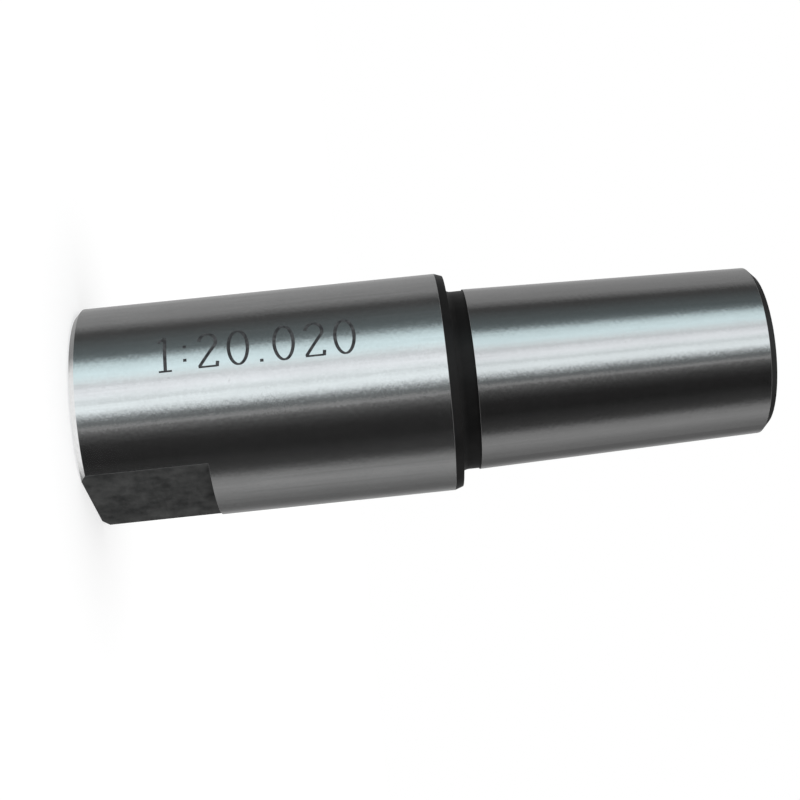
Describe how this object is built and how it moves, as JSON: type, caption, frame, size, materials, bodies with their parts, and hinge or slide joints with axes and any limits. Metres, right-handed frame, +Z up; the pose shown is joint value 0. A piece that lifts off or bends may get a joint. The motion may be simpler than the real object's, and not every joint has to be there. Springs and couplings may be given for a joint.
{
  "type": "taper adapter sleeve",
  "caption": "Turned steel adapter sleeve with a short self-holding taper shank at one end and a smaller taper socket in a wide body with wrench flats.",
  "frame": {"origin": "centre of the socket end face, which the sleeve stands on", "axes": "+Z up the turning axis, from the socket end to the tip of the shank; +X is the outward normal of one wrench flat"},
  "size_m": [0.019, 0.019, 0.0585],
  "materials": {
    "ground_steel": "hardened steel, cylindrically ground on the body and the shank, black in the turned neck"
  },
  "bodies": {
    "root": {"taper_sleeve": "ground_steel"}
  },
  "joints": []
}
